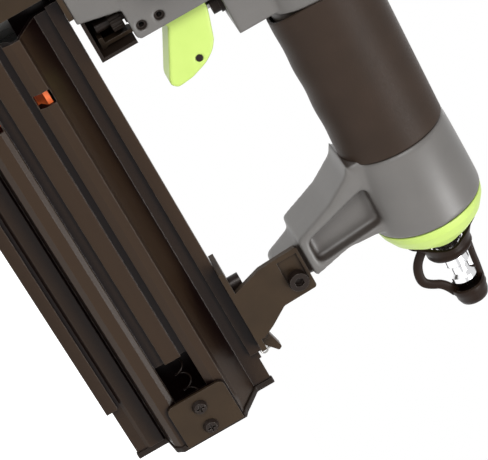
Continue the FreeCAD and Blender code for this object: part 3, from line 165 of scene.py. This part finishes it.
@dataclass(frozen=True)
class Finish:
    """A painted, moulded or metal surface with grain, clouding, worn edges and painted shade in its crevices.

    The sizes, depths, radii and reaches are in millimetres.
    """

    name: str
    slot: str
    colour: Colour
    cloud: Colour
    roughness: float
    metallic: float = 0.0
    grain_size: float = 0.5
    grain_depth: float = 0.02
    cloud_size: float = 14.0
    edge: Colour = (0.3, 0.3, 0.3)
    edge_share: float = 0.0
    edge_radius: float = 0.5
    streak: Streak = Streak.NONE
    specular: float = 0.5
    painted_shade: Colour = (0.01, 0.008, 0.006)
    painted_shade_share: float = 0.0
    painted_shade_reach: float = 14.0
    painted_shade_span: tuple[float, float] = (0.92, 0.35)

    def material(self) -> bpy.types.Material:
        """Build the finish's material.

        Returns:
            The material.
        """
        graph = Graph(self.name)
        clouds = graph.noise(self.cloud_size, self.streak, 4.0)
        grain = graph.noise(self.grain_size, self.streak, 3.0)
        colour = graph.mix(graph.spread(clouds, 0.35, 0.7, 0.0, 1.0), self.colour, self.cloud)
        rounded = graph.node("Bevel", {"samples": 6}, Radius=self.edge_radius * MM).outputs[0]
        # Painted shade: the colour darkens where ambient occlusion finds crevices, recesses and gaps between parts.
        if self.painted_shade_share:
            shade_occlusion = graph.node("AmbientOcclusion", {"samples": 8}, Distance=self.painted_shade_reach * MM)
            share = graph.spread(shade_occlusion.outputs["AO"], *self.painted_shade_span, 0.0, self.painted_shade_share)
            colour = graph.mix(share, colour, self.painted_shade)
        if self.edge_share:
            colour = graph.mix(self.worn_edges(graph, rounded), colour, self.edge)
        rough = graph.spread(grain, 0.3, 0.7, self.roughness * 0.88, min(1.0, self.roughness * 1.12))
        bump = graph.node("Bump", Strength=0.5, Distance=self.grain_depth * MM, Height=grain, Normal=rounded)
        shader = graph.node(
            "BsdfPrincipled", Base_Color=colour, Roughness=rough, Metallic=self.metallic,
            Specular_IOR_Level=self.specular, Normal=bump.outputs[0],
        )
        graph.feed(graph.out.inputs[0], shader.outputs[0])
        return graph.material

    def worn_edges(self, graph: Graph, rounded: bpy.types.NodeSocket) -> bpy.types.NodeSocket:
        """Mask of the corners where the finish has rubbed.

        Args:
            graph: The material's node tree.
            rounded: The normal with its corners rounded.

        Returns:
            The mask's socket, from 0 to the finish's edge share.
        """
        flat = graph.node("NewGeometry").outputs["Normal"]
        turn = graph.node("VectorMath", {"operation": "DOT_PRODUCT"})
        graph.feed(turn.inputs[0], flat)
        graph.feed(turn.inputs[1], rounded)
        corner = graph.spread(turn.outputs["Value"], 0.99, 0.85, 0.0, 1.0)
        broken = graph.spread(graph.noise(3.0), 0.35, 0.65, 0.25, 1.0)
        both = graph.node("Math", {"operation": "MULTIPLY"})
        graph.feed(both.inputs[0], corner)
        graph.feed(both.inputs[1], broken)
        share = graph.node("Math", {"operation": "MULTIPLY"})
        graph.feed(share.inputs[0], both.outputs[0])
        graph.feed(share.inputs[1], self.edge_share)
        return share.outputs[0]


CAST_GREY = Finish(
    "cast_grey_satin", "cast_grey", (0.138, 0.13, 0.122), (0.126, 0.119, 0.112), 0.42,
    grain_size=0.35, grain_depth=0.03, edge=(0.25, 0.245, 0.24), edge_share=0.5, edge_radius=1.3,
    # painted shade darkens the casting's pockets and crevices
    painted_shade=(0.03, 0.02, 0.015), painted_shade_share=0.9, painted_shade_reach=20.0,
    painted_shade_span=(0.95, 0.45),
)
CAP_GREY = Finish(
    "cap_grey_satin", "cap_grey", (0.138, 0.13, 0.122), (0.126, 0.119, 0.112), 0.4,
    grain_size=0.35, grain_depth=0.03, edge=(0.25, 0.245, 0.24), edge_share=0.5, edge_radius=1.2,
)
RUBBER = Finish(
    "black_rubber", "rubber_black", (0.016, 0.0075, 0.004), (0.012, 0.0055, 0.003), 0.42,
    grain_size=0.4, grain_depth=0.03, edge_radius=0.5, specular=0.12,
)
GRIP_RUBBER = Finish(
    "charcoal_grip_rubber", "grip_rubber", (0.038, 0.0245, 0.0175), (0.032, 0.021, 0.015), 0.5,
    grain_size=0.7, grain_depth=0.05, edge_radius=0.8, specular=0.12,
)
LIME = Finish(
    "lime_moulding", "lime", (0.6, 0.78, 0.19), (0.56, 0.75, 0.17), 0.4,
    grain_size=0.3, grain_depth=0.01, edge=(0.68, 0.85, 0.3), edge_share=0.3, edge_radius=0.9, specular=0.35,
    # painted shade darkens the lime mouldings' crevices
    painted_shade=(0.2, 0.3, 0.05), painted_shade_share=0.6, painted_shade_reach=7.0,
)
ORANGE = Finish(
    "orange_moulding", "orange", (1.0, 0.2, 0.05), (0.95, 0.17, 0.04), 0.35,
    grain_size=0.3, grain_depth=0.01, edge_radius=0.5,
)
EXTRUSION = Finish(
    "black_extrusion", "black_extrusion", (0.040, 0.0225, 0.012), (0.031, 0.0175, 0.0095), 0.34,
    grain_size=0.5, grain_depth=0.01, edge=(0.11, 0.085, 0.068), edge_share=0.7, edge_radius=0.6,
    # painted shade, steeply mapped, turns the magazine's channels and recesses near-black
    streak=Streak.ALONG_X, specular=0.15, painted_shade=(0.003, 0.0006, 0.0005), painted_shade_share=1.0, painted_shade_reach=24.0,
    painted_shade_span=(0.95, 0.72),
)
BLACK_STEEL = Finish(
    "blackened_steel", "black_steel", (0.042, 0.026, 0.014), (0.032, 0.02, 0.011), 0.42, specular=0.14,
    # painted shade darkens the blackened steel in its crevices
    painted_shade=(0.006, 0.003, 0.002), painted_shade_share=0.8, painted_shade_reach=6.0,
    grain_size=0.6, grain_depth=0.02, edge=(0.14, 0.12, 0.105), edge_share=0.6, edge_radius=0.35,
)
BLACK_MOULDING = Finish(
    "black_moulding", "black_plastic", (0.016, 0.01, 0.007), (0.012, 0.0075, 0.005), 0.45,
    grain_size=0.35, grain_depth=0.03, edge_radius=0.5, specular=0.14,
)
STEEL = Finish(
    "ground_steel", "steel", (0.4, 0.39, 0.37), (0.33, 0.32, 0.31), 0.3, metallic=1.0,
    grain_size=0.5, grain_depth=0.01, edge_radius=0.3, streak=Streak.ALONG_Z,
)
CHROME = Finish(
    "polished_chrome", "chrome", (0.74, 0.74, 0.75), (0.66, 0.66, 0.67), 0.14, metallic=1.0,
    grain_size=1.5, grain_depth=0.004, edge_radius=0.3,
)
ALLOY = Finish(
    "turned_alloy", "alloy", (0.52, 0.52, 0.53), (0.45, 0.45, 0.46), 0.32, metallic=1.0,
    grain_size=0.4, grain_depth=0.01, edge_radius=0.4,
)
IVORY = Finish(
    "ivory_moulding", "white_plastic", (0.75, 0.73, 0.68), (0.7, 0.68, 0.62), 0.4,
    grain_size=0.4, grain_depth=0.02, edge_radius=0.5,
)
SCREW_BLACK = Finish(
    "black_oxide_screws", "screw_black", (0.02, 0.013, 0.01), (0.014, 0.009, 0.007), 0.33, metallic=0.2,
    specular=0.2,
    grain_size=0.3, grain_depth=0.015, edge=(0.2, 0.18, 0.16), edge_share=0.7, edge_radius=0.25,
)
FINISHES = (
    CAST_GREY, CAP_GREY, RUBBER, GRIP_RUBBER, LIME, ORANGE, EXTRUSION, BLACK_STEEL, BLACK_MOULDING,
    STEEL, CHROME, ALLOY, IVORY, SCREW_BLACK,
)


# Steel nodes that are blackened on this tool.
DARKENED = ("depth_stud", "pusher_spring")


class Wardrobe:
    """Every finish's material, made once and handed out by finish or by record slot."""

    def __init__(self) -> None:
        """Build all the finishes."""
        self.made = {finish.name: finish.material() for finish in FINISHES}
        self.by_slot = {finish.slot: finish for finish in FINISHES}

    def get(self, finish: Finish) -> bpy.types.Material:
        """Return the finish's material."""
        return self.made[finish.name]

    def dress_frame(self) -> None:
        """Give every carried-over CAD node the finish of its slot."""
        for part in frame["record"]["subparts"]:
            finish = self.by_slot[part["material_slot"]]
            thing = frame["nodes"][part["node"]]
            thing.data.materials.clear()
            thing.data.materials.append(self.get(finish))
        for node in DARKENED:
            frame["nodes"][node].data.materials[0] = self.get(SCREW_BLACK)


@dataclass
class Studio:
    """Pale floor, soft lamps and the camera that looks at the tool's left side."""

    eye: Point = (-0.3459, -0.8623, 0.108)
    lens: float = 172.6
    floor_size: float = 8.0

    def build(self) -> None:
        """Set the camera, floor, world and lamps."""
        self.camera()
        self.floor()
        self.world()
        self.lamp("key_softbox", (-0.75, -0.75, 0.16), 0.5, 9.5)
        self.lamp("rear_softbox", (0.6, -0.65, 0.6), 0.35, 5.5)
        self.lamp("far_softbox", (0.1, 0.9, 0.7), 1.0, 6.0)

    def camera(self) -> None:
        """Add the camera, level with the tool and rolled so that the nose points up and left."""
        data = bpy.data.cameras.new("view")
        data.lens = self.lens
        data.sensor_width = 36.0
        eye = bpy.data.objects.new("view", data)
        bpy.context.scene.collection.objects.link(eye)
        level = Vector((0.866, -0.5, 0.0))
        forward = Vector((0.5, 0.866, 0.0))
        right = 0.497 * level + Vector((0.0, 0.0, 0.868))
        up = -0.868 * level + Vector((0.0, 0.0, 0.497))
        turn = Matrix((right, up, -forward)).transposed().to_4x4()
        eye.matrix_world = Matrix.Translation(self.eye) @ turn
        bpy.context.scene.camera = eye

    def floor(self) -> None:
        """Add a pale floor that keeps the tool's shadow."""
        bpy.ops.mesh.primitive_plane_add(size=self.floor_size, location=(0.0, 0.0, -0.0005))
        ground = bpy.context.object
        ground.name = "floor"
        graph = Graph("pale_floor")
        seen = graph.node("LightPath")
        grey = graph.node("BsdfDiffuse", Color=(0.85, 0.85, 0.85))
        bright = graph.node("Emission", Color=(1.0, 1.0, 1.0), Strength=0.86)
        dim = graph.node("BsdfDiffuse", Color=(0.75, 0.75, 0.75))
        shown = graph.node("AddShader")
        graph.feed(shown.inputs[0], bright.outputs[0])
        graph.feed(shown.inputs[1], dim.outputs[0])
        either = graph.node("Math", {"operation": "MAXIMUM"})
        graph.feed(either.inputs[0], seen.outputs["Is Camera Ray"])
        graph.feed(either.inputs[1], seen.outputs["Is Glossy Ray"])
        choose = graph.node("MixShader", Fac=either.outputs[0])
        graph.feed(choose.inputs[1], grey.outputs[0])
        graph.feed(choose.inputs[2], shown.outputs[0])
        graph.feed(graph.out.inputs[0], choose.outputs[0])
        ground.data.materials.append(graph.material)

    def world(self) -> None:
        """Light the room softly and show it as plain white."""
        world = bpy.data.worlds.new("room")
        world.use_nodes = True
        tree = world.node_tree
        tree.nodes.clear()
        path = tree.nodes.new("ShaderNodeLightPath")
        shown = path.outputs["Is Camera Ray"]
        for kind in ("Is Glossy Ray", "Is Transmission Ray"):
            either = tree.nodes.new("ShaderNodeMath")
            either.operation = "MAXIMUM"
            tree.links.new(shown, either.inputs[0])
            tree.links.new(path.outputs[kind], either.inputs[1])
            shown = either.outputs[0]
        level = tree.nodes.new("ShaderNodeMapRange")
        tree.links.new(shown, level.inputs[0])
        level.inputs[3].default_value = 0.2
        level.inputs[4].default_value = 1.0
        glow = tree.nodes.new("ShaderNodeBackground")
        glow.inputs["Color"].default_value = (1.0, 1.0, 1.0, 1.0)
        tree.links.new(level.outputs[0], glow.inputs["Strength"])
        end = tree.nodes.new("ShaderNodeOutputWorld")
        tree.links.new(glow.outputs[0], end.inputs[0])
        bpy.context.scene.world = world

    def lamp(self, name: str, place: Point, size: float, power: float) -> None:
        """Add a square soft box that faces the tool.

        Args:
            name: The lamp's name.
            place: Where it stands, in metres.
            size: Length of its side.
            power: Its power in watts.
        """
        data = bpy.data.lights.new(name, "AREA")
        data.size = size
        data.energy = power
        lamp = bpy.data.objects.new(name, data)
        bpy.context.scene.collection.objects.link(lamp)
        aim = Vector((0.1, 0.0, 0.12)) - Vector(place)
        turn = aim.to_track_quat("-Z", "Y").to_matrix().to_4x4()
        lamp.matrix_world = Matrix.Translation(place) @ turn


class Bench:
    """Modelling calls that several sub-assemblies share."""

    @staticmethod
    def take(thing: bpy.types.Object) -> None:
        """Deselect everything and make one object the active selection."""
        bpy.ops.object.select_all(action="DESELECT")
        thing.select_set(True)
        bpy.context.view_layer.objects.active = thing

    @staticmethod
    def modify(thing: bpy.types.Object, kind: str, **settings: object) -> None:
        """Add a modifier and apply it.

        Args:
            thing: The object to change.
            kind: The modifier's type.
            settings: The modifier's properties.
        """
        Bench.take(thing)
        modifier = thing.modifiers.new(kind.lower(), kind)
        for key, value in settings.items():
            setattr(modifier, key, value)
        bpy.ops.object.modifier_apply(modifier=modifier.name)

    @staticmethod
    def copy_of(node: str, name: str) -> bpy.types.Object:
        """Copy a CAD node's mesh and merge its loose triangles.

        Args:
            node: The CAD node.
            name: The copy's name.

        Returns:
            The copy, at the origin.
        """
        made = bpy.data.objects.new(name, frame["nodes"][node].data.copy())
        bpy.context.scene.collection.objects.link(made)
        Bench.take(made)
        bpy.ops.object.mode_set(mode="EDIT")
        bpy.ops.mesh.select_all(action="SELECT")
        bpy.ops.mesh.remove_doubles(threshold=0.000001)
        bpy.ops.mesh.customdata_custom_splitnormals_clear()
        bpy.ops.object.mode_set(mode="OBJECT")
        return made

    @staticmethod
    def block(name: str, low: Point, high: Point) -> bpy.types.Object:
        """Add a rectangular block.

        Args:
            name: The block's name.
            low: Its lowest corner in millimetres.
            high: Its highest corner in millimetres.

        Returns:
            The block, at the origin.
        """
        middle = [(a + b) / 2.0 * MM for a, b in zip(low, high)]
        reach = [(b - a) * MM for a, b in zip(low, high)]
        bpy.ops.object.select_all(action="DESELECT")
        bpy.ops.mesh.primitive_cube_add(size=1.0, location=middle, scale=reach)
        made = bpy.context.object
        made.name = name
        Bench.settle(made)
        return made

    @staticmethod
    def settle(thing: bpy.types.Object) -> None:
        """Put the object's place, turn and scale into its mesh."""
        Bench.take(thing)
        bpy.ops.object.transform_apply(location=True, rotation=True, scale=True)

    @staticmethod
    def outward(thing: bpy.types.Object) -> None:
        """Merge doubled points and turn every face outwards."""
        Bench.take(thing)
        bpy.ops.object.mode_set(mode="EDIT")
        bpy.ops.mesh.select_all(action="SELECT")
        bpy.ops.mesh.remove_doubles(threshold=0.000002)
        bpy.ops.mesh.normals_make_consistent(inside=False)
        bpy.ops.object.mode_set(mode="OBJECT")

    @staticmethod
    def join(first: bpy.types.Object, others: list[bpy.types.Object]) -> bpy.types.Object:
        """Join objects into the first.

        Args:
            first: The object that stays.
            others: The objects that go into it.

        Returns:
            The first object.
        """
        Bench.take(first)
        for other in others:
            other.select_set(True)
        bpy.ops.object.join()
        return first

    @staticmethod
    def hand_over(
        thing: bpy.types.Object, finish: Finish, wardrobe: "Wardrobe", body: str,
        stands_for: tuple[str, ...] = (), crease: float = 35.0,
    ) -> None:
        """Dress a finished piece, smooth it and hang it on its body.

        Args:
            thing: The finished piece.
            finish: Its finish.
            wardrobe: The finishes' materials.
            body: The body that it rides on.
            stands_for: CAD nodes that it replaces.
            crease: Angle in degrees above which an edge stays sharp.
        """
        Bench.take(thing)
        thing.data.materials.clear()
        thing.data.materials.append(wardrobe.get(finish))
        bpy.ops.object.shade_smooth_by_angle(angle=math.radians(crease))
        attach(thing, body)
        if stands_for:
            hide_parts(*stands_for)
        LOG.info("%s: %d faces on %s", thing.name, len(thing.data.polygons), body)


@dataclass
class SoftCorners:
    """A cast or moulded piece, made from its solid with every corner rounded over.

    The voxel, late_from and the fillers' corners are in millimetres. The points behind late_from
    are relaxed further, and the fillers are blocks that are merged into the piece.
    """

    node: str
    name: str
    body: str
    finish: Finish
    voxel: float
    passes: int = 4
    late_from: float = 1.0
    late_passes: int = 0
    fillers: tuple[tuple[Point, Point], ...] = ()

    def build(self, wardrobe: Wardrobe) -> bpy.types.Object:
        """Remesh the solid finely and relax it.

        Args:
            wardrobe: The finishes' materials.

        Returns:
            The finished piece.
        """
        made = Bench.copy_of(self.node, self.name)
        if self.fillers:
            Bench.join(made, [Bench.block("filler", *corners) for corners in self.fillers])
        made.data.remesh_voxel_size = self.voxel * MM
        made.data.remesh_voxel_adaptivity = 0.0
        made.data.use_remesh_fix_poles = True
        bpy.ops.object.voxel_remesh()
        Bench.modify(made, "SMOOTH", factor=0.5, iterations=self.passes)
        if self.late_passes:
            self.mark_late(made)
            Bench.modify(made, "SMOOTH", factor=0.5, iterations=self.late_passes, vertex_group="late")
        share = PIECE_TRIANGLES / (2.0 * len(made.data.polygons))
        if share < 1.0:
            Bench.modify(made, "DECIMATE", ratio=share)
        Bench.hand_over(made, self.finish, wardrobe, self.body, (self.node,), crease=70.0)
        return made

    def mark_late(self, made: bpy.types.Object) -> None:
        """Weight the points behind late_from, fading in."""
        late = made.vertex_groups.new(name="late")
        for point in made.data.vertices:
            share = (point.co.x - self.late_from * MM) / (LATE_FADE * MM)
            if share > 0.0:
                late.add([point.index], min(1.0, share), "REPLACE")


@dataclass
class GripSleeve:
    """Rubber sleeve on the handle, with curved ends and faint finger swells."""

    front: float = 66.4
    back: float = 145.5
    centre: float = 182.5
    half_high: float = 24.0
    half_wide: float = 20.5
    thick: float = 1.4
    rings: int = 60
    sides: int = 96
    front_sweep: float = 5.0
    swell: float = 0.45

    def build(self, wardrobe: Wardrobe) -> bpy.types.Object:
        """Model the sleeve.

        Args:
            wardrobe: The finishes' materials.

        Returns:
            The sleeve.
        """
        bpy.ops.object.select_all(action="DESELECT")
        bpy.ops.mesh.primitive_grid_add(x_subdivisions=self.rings, y_subdivisions=self.sides, size=1.0)
        sleeve = bpy.context.object
        sleeve.name = "grip_rubber_sleeve"
        for point in sleeve.data.vertices:
            point.co = self.shaped(point.co.x + 0.5, (point.co.y + 0.5) * 2.0 * math.pi)
        Bench.outward(sleeve)
        Bench.modify(sleeve, "SOLIDIFY", thickness=self.thick * MM, offset=-1.0)
        Bench.modify(sleeve, "BEVEL", width=0.5 * MM, segments=3, limit_method="ANGLE", angle_limit=0.9)
        Bench.hand_over(sleeve, GRIP_RUBBER, wardrobe, "root", ("grip_sleeve",), crease=50.0)
        return sleeve

    def shaped(self, along: float, around: float) -> Vector:
        """Place a point of the sleeve's outside.

        Args:
            along: Share of the sleeve's length, from its front.
            around: Angle about the handle's axis, from +Y towards +Z.

        Returns:
            The point's place in metres.
        """
        low = max(0.0, -math.sin(around))
        start = self.front + self.front_sweep * low**2 + 0.6 * math.sin(3.0 * around)
        x = start + along * (self.back - start)
        fade = math.sin(math.pi * along) ** 0.5
        wave = self.swell * fade * low * (1.0 + math.cos(2.0 * math.pi * (x - self.front) / 21.0)) / 2.0
        y = (self.half_wide - 0.1) * math.cos(around)
        z = self.centre + (self.half_high - wave) * math.sin(around)
        return Vector((x, y, z)) * MM


@dataclass
class DustCover:
    """Rubber cover for the air plug: a petalled collar, two straps and a cup.

    The dome is the end dome's outline, as pairs of x and radius in millimetres.
    """

    axis_z: float = 182.5
    collar_back: float = 211.5
    wall: float = 1.5
    sides: int = 72
    rings: int = 14
    collar_front: float = 206.2
    petal_reach: float = 7.2
    petal_flare: float = 6.4
    dome: tuple[tuple[float, float], ...] = (
        (194.0, 21.5), (196.0, 18.2), (198.0, 16.5), (200.0, 14.8), (202.0, 11.5), (203.5, 9.0), (212.0, 8.3),
    )
    cup_mouth: float = 231.4
    cup_end: float = 240.9
    cup_radius: float = 8.0

    def build(self, wardrobe: Wardrobe) -> bpy.types.Object:
        """Model the collar, straps and cup as one rubber moulding.

        Args:
            wardrobe: The finishes' materials.

        Returns:
            The dust cover.
        """
        parts = [
            self.cup(),
            self.strap("lower", ((205.0, 172.2), (207.5, 168.9), (212.5, 165.4), (219.6, 164.4),
                                 (223.2, 167.2), (226.6, 173.4), (233.0, 176.0)), 2.3, 1.1),
            self.strap("upper", ((208.0, 191.6), (213.0, 191.0), (220.0, 190.2), (226.5, 189.9),
                                 (232.5, 189.2)), 1.6, 0.6),
        ]
        cover = Bench.join(self.collar(), parts)
        cover.name = "rubber_dust_cover"
        Bench.hand_over(cover, RUBBER, wardrobe, "root", ("dust_cover",), crease=50.0)
        return cover

    def dome_radius(self, x: float) -> float:
        """Radius in millimetres that the collar's inside has at x."""
        for (near, wide), (far, slim) in zip(self.dome, self.dome[1:]):
            if x <= far:
                share = max(0.0, (x - near) / (far - near))
                return wide + share * (slim - wide)
        return self.dome[-1][1]

    def collar(self) -> bpy.types.Object:
        """Model the collar, a tube whose front edge rises in two petals over the dome."""
        bpy.ops.object.select_all(action="DESELECT")
        bpy.ops.mesh.primitive_grid_add(x_subdivisions=self.rings, y_subdivisions=self.sides, size=1.0)
        collar = bpy.context.object
        for point in collar.data.vertices:
            along = point.co.x + 0.5
            around = (point.co.y + 0.5) * 2.0 * math.pi
            petal = abs(math.cos(around)) ** 2.6
            front = self.collar_front - self.petal_reach * petal
            x = front + along * (self.collar_back - front)
            bead = 0.7 * math.exp(-(((x - self.collar_back + 1.3) / 1.0) ** 2))
            flare = self.petal_flare * petal * (1.0 - along) ** 1.5
            radius = max(self.dome_radius(x) + 0.3, 8.4 + flare) + bead + self.wall
            point.co = Vector((x, radius * math.sin(around), self.axis_z + radius * math.cos(around))) * MM
        Bench.outward(collar)
        Bench.modify(collar, "SOLIDIFY", thickness=self.wall * MM, offset=-1.0)
        Bench.modify(collar, "BEVEL", width=0.4 * MM, segments=3, limit_method="ANGLE", angle_limit=0.9)
        return collar

    def strap(
        self, name: str, route: tuple[tuple[float, float], ...], half_wide: float, half_thick: float,
    ) -> bpy.types.Object:
        """Model a flat strap along a smooth line in the tool's middle plane.

        Args:
            name: The strap's name.
            route: Points (x, z) in millimetres.
            half_wide: Half of its width.
            half_thick: Half of its thickness.

        Returns:
            The strap as a mesh.
        """
        line = bpy.data.curves.new(name, "CURVE")
        line.dimensions = "3D"
        line.resolution_u = 10
        spline = line.splines.new("NURBS")
        spline.points.add(len(route) - 1)
        for point, (x, z) in zip(spline.points, route):
            point.co = (x * MM, 0.0, z * MM, 1.0)
        spline.order_u = 3
        spline.use_endpoint_u = True
        edge = bpy.data.curves.new(name + "_edge", "CURVE")
        edge.dimensions = "2D"
        ring = edge.splines.new("NURBS")
        ring.points.add(7)
        for index, point in enumerate(ring.points):
            turn = 2.0 * math.pi * index / 8.0
            reach = (abs(math.cos(turn)) ** 4 + abs(math.sin(turn)) ** 4) ** -0.25
            point.co = (half_thick * MM * reach * math.cos(turn), half_wide * MM * reach * math.sin(turn), 0.0, 1.0)
        ring.use_cyclic_u = True
        outline = bpy.data.objects.new(name + "_edge", edge)
        bpy.context.scene.collection.objects.link(outline)
        line.bevel_mode = "OBJECT"
        line.bevel_object = outline
        line.use_fill_caps = True
        made = bpy.data.objects.new(name, line)
        bpy.context.scene.collection.objects.link(made)
        Bench.take(made)
        bpy.ops.object.convert(target="MESH")
        bpy.data.objects.remove(outline)
        strap = bpy.context.object
        Bench.outward(strap)
        return strap

    def cup(self) -> bpy.types.Object:
        """Model the cup by spinning its wall about the plug's axis."""
        profile = (
            (self.cup_mouth, 6.6), (self.cup_mouth - 0.5, 7.2), (self.cup_mouth, self.cup_radius),
            (self.cup_mouth + 2.2, self.cup_radius + 0.1), (self.cup_mouth + 3.4, self.cup_radius - 0.5),
            (self.cup_mouth + 6.0, self.cup_radius - 0.7), (self.cup_end - 1.4, self.cup_radius - 1.5),
            (self.cup_end - 0.3, self.cup_radius - 3.4), (self.cup_end, 0.0),
        )
        inner = ((self.cup_end - 2.0, 0.0), (self.cup_end - 2.0, 5.4), (self.cup_end - 3.2, 6.4))
        points = inner + profile
        bpy.ops.object.select_all(action="DESELECT")
        mesh = bpy.data.meshes.new("cup")
        mesh.from_pydata(
            [(x * MM, 0.0, (self.axis_z + r) * MM) for x, r in points],
            [(index, index + 1) for index in range(len(points) - 1)], [],
        )
        cup = bpy.data.objects.new("cup", mesh)
        bpy.context.scene.collection.objects.link(cup)
        Bench.take(cup)
        bpy.ops.object.mode_set(mode="EDIT")
        bpy.ops.mesh.select_all(action="SELECT")
        bpy.ops.mesh.spin(
            steps=56, angle=2.0 * math.pi, center=(0.0, 0.0, self.axis_z * MM), axis=(1.0, 0.0, 0.0),
        )
        bpy.ops.object.mode_set(mode="OBJECT")
        Bench.outward(cup)
        return cup


@dataclass
class AdjusterTrim:
    """Dark back wall inside the depth adjuster's box."""

    low: Point = (28.4, 7.6, 92.8)
    high: Point = (46.8, 8.7, 108.0)

    def build(self, wardrobe: Wardrobe) -> bpy.types.Object:
        """Model the back wall as a plate with a raised rim.

        Args:
            wardrobe: The finishes' materials.

        Returns:
            The back wall.
        """
        wall = Bench.block("adjuster_back_wall", self.low, self.high)
        for face in wall.data.polygons:
            face.select = face.normal.y < -0.9
        bpy.ops.object.mode_set(mode="EDIT")
        bpy.ops.mesh.select_mode(type="FACE")
        bpy.ops.mesh.inset(thickness=1.2 * MM, depth=-0.5 * MM)
        bpy.ops.object.mode_set(mode="OBJECT")
        Bench.modify(wall, "BEVEL", width=0.2 * MM, segments=2, limit_method="ANGLE", angle_limit=0.6)
        Bench.hand_over(wall, BLACK_MOULDING, wardrobe, "root")
        return wall


# Block that joins the top of the leg to the underside of the handle.
LEG_SADDLE = ((143.6, -12.6, 157.4), (151.0, 12.6, 167.0))
SOFTENED = (
    SoftCorners("body_housing", "cast_housing", "root", CAST_GREY, 0.95, 2, 139.0, 18, (LEG_SADDLE,)),
    SoftCorners("cylinder_cap", "cast_cylinder_cap", "root", CAP_GREY, 0.6, 4),
    SoftCorners("end_cap", "lime_end_dome", "root", LIME, 0.6, 3),
    SoftCorners("trigger", "lime_trigger", "trigger", LIME, 0.35, 40),
    SoftCorners("no_mar_tip", "rubber_nose_tip", "contact", RUBBER, 0.35, 4),
    SoftCorners("cover_end_cap", "magazine_end_moulding", "cover", BLACK_MOULDING, 0.35, 12),
    SoftCorners("exhaust_deflector", "swivel_exhaust", "deflector", BLACK_MOULDING, 0.45, 3),
)


def main() -> None:
    """Build the studio, the finishes and every detailed piece."""
    bpy.context.scene.view_settings.view_transform = "Standard"
    Studio().build()
    wardrobe = Wardrobe()
    wardrobe.dress_frame()
    for piece in SOFTENED:
        piece.build(wardrobe)
    GripSleeve().build(wardrobe)
    DustCover().build(wardrobe)
    AdjusterTrim().build(wardrobe)


if __name__ == "__main__":
    logging.basicConfig(level=logging.INFO)
    main()
